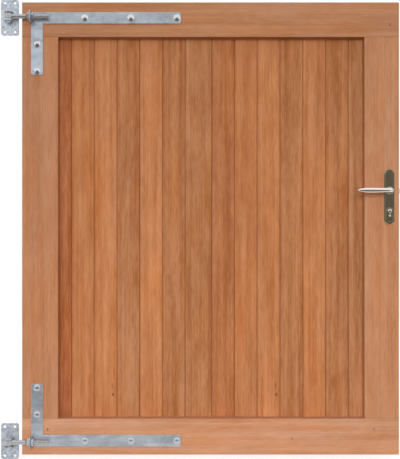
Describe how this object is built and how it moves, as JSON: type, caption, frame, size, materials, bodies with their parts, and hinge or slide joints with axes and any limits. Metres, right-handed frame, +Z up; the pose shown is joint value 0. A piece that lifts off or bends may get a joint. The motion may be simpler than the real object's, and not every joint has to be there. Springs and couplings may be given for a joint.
{
  "type": "framed boarded gate leaf",
  "caption": "Timber gate leaf: a rebated frame filled with tongued boards, on adjustable eyebolt strap hinges with wall plates, and a mortise lock with lever handles front and back.",
  "frame": {"origin": "middle of the lower wall plate's back face, which lies in the plane of the leaf's front face", "axes": "+X along the closed leaf from the hinges to the lock edge, +Y from the front face to the back, +Z up, parallel to the hinge pins"},
  "size_m": [1.594, 0.179, 1.825],
  "materials": {
    "wood": "planed red-brown softwood with a clear satin oil",
    "galvanised": "hot-dip galvanised, dull with a faint spangle",
    "fixings": "bright zinc plated",
    "handle_plate": "dark satin steel with a bright sloping rim",
    "lever": "polished stainless steel",
    "cylinder": "satin nickel plated",
    "lock": "brushed stainless face plate"
  },
  "bodies": {
    "wall_plates": {"lower_wall_plate": "galvanised", "upper_wall_plate": "galvanised", "lower_hinge_pin": "fixings", "upper_hinge_pin": "fixings"},
    "leaf": {"top_rail": "wood", "bottom_rail": "wood", "hinge_stile": "wood", "lock_stile": "wood", "board_01": "wood", "board_02": "wood", "board_03": "wood", "board_04": "wood", "board_05": "wood", "board_06": "wood", "board_07": "wood", "board_08": "wood", "board_09": "wood", "board_10": "wood", "board_11": "wood", "board_12": "wood", "board_13": "wood", "board_14": "wood", "upper_strap": "galvanised", "upper_eyebolt": "galvanised", "upper_eyebolt_nuts": "fixings", "upper_strap_bolts": "fixings", "upper_strap_nuts": "fixings", "lower_strap": "galvanised", "lower_eyebolt": "galvanised", "lower_eyebolt_nuts": "fixings", "lower_strap_bolts": "fixings", "lower_strap_nuts": "fixings", "front_handle_plate": "handle_plate", "back_handle_plate": "handle_plate", "lock_cylinder": "cylinder", "mortise_lock": "lock", "latch_bolt": "fixings", "dead_bolt": "fixings"},
    "lever": {"front_lever": "lever", "back_lever": "lever", "lever_spindle": "fixings"}
  },
  "joints": [
    {"name": "leaf_swing", "type": "hinge", "parent": "wall_plates", "child": "leaf", "pos_m": [0, -0.027, 0], "axis": [0, 0, -1], "range_deg": [0, 170]},
    {"name": "lever_turn", "type": "hinge", "parent": "leaf", "child": "lever", "pos_m": [1.507, 0, 0.995], "axis": [0, -1, 0], "range_deg": [0, 40], "stiffness_Nm_per_rad": 1, "springref_deg": -57.3}
  ]
}
